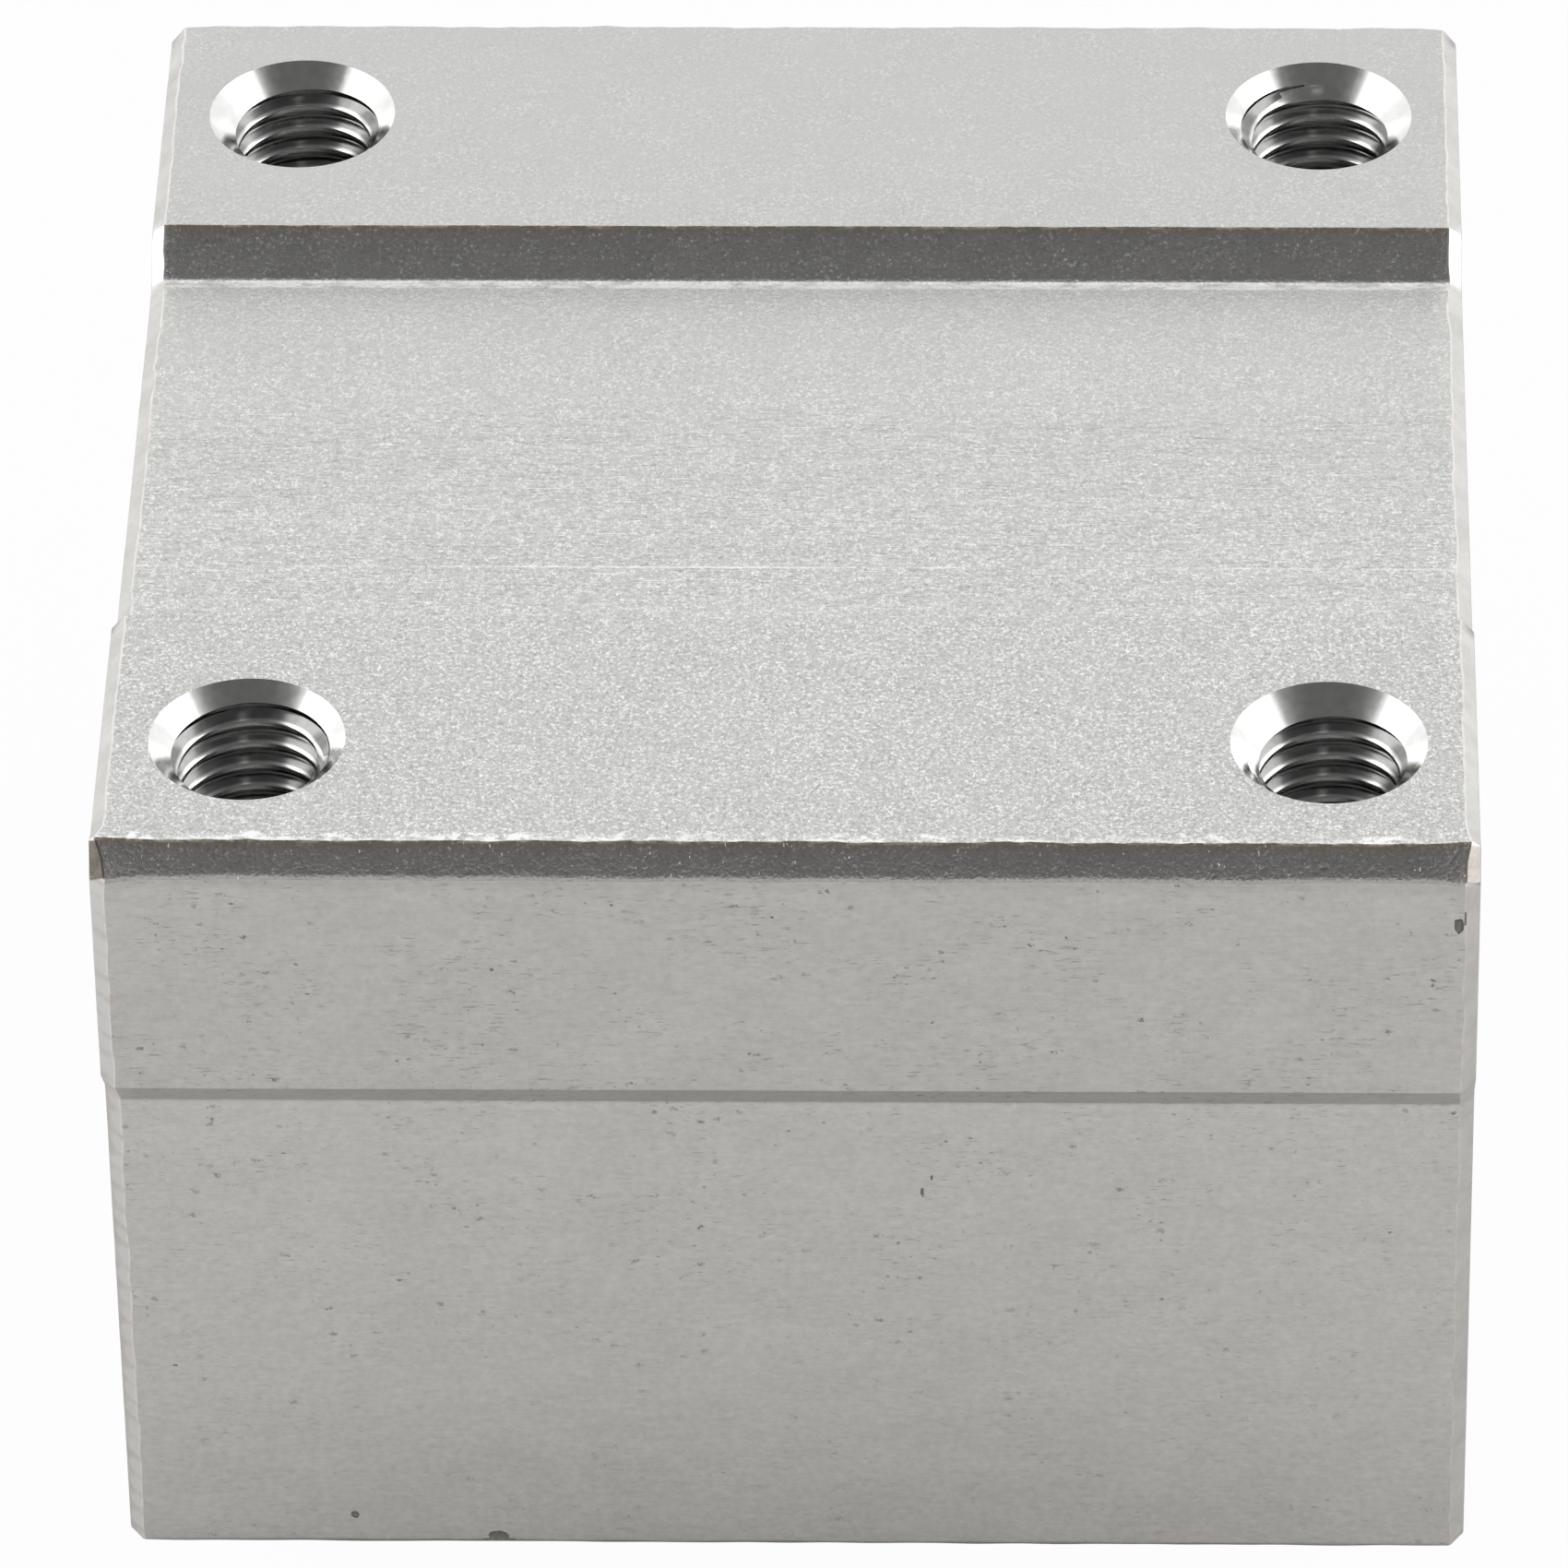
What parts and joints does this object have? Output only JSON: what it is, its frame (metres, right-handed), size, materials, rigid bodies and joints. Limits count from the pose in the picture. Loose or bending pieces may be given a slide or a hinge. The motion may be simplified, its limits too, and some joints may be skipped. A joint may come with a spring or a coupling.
{
  "type": "linear bearing block",
  "caption": "Aluminium linear bearing block with a ball bushing for a round shaft, bolted down by its flat channelled mounting face.",
  "frame": {"origin": "on the shaft's axis, midway between the two end faces of the block", "axes": "+X along the shaft, +Z out of the mounting face with the tapped holes, +Y across the block"},
  "size_m": [0.051, 0.054, 0.041],
  "materials": {
    "extruded_aluminium": "clear anodised, fine satin grain",
    "bearing_steel": "ground",
    "cage_resin": "moulded",
    "ball_steel": "polished",
    "seal_rubber": "matte",
    "spring_steel": "phosphated"
  },
  "bodies": {
    "root": {"housing_block": "extruded_aluminium", "bushing_sleeve": "bearing_steel", "ball_cage": "cage_resin", "ball_circuit_1": "ball_steel", "ball_circuit_2": "ball_steel", "ball_circuit_3": "ball_steel", "ball_circuit_4": "ball_steel", "ball_circuit_5": "ball_steel", "end_seal_left": "seal_rubber", "cage_ring_left": "bearing_steel", "circlip_left": "spring_steel", "end_seal_right": "seal_rubber", "cage_ring_right": "bearing_steel", "circlip_right": "spring_steel"}
  },
  "joints": []
}
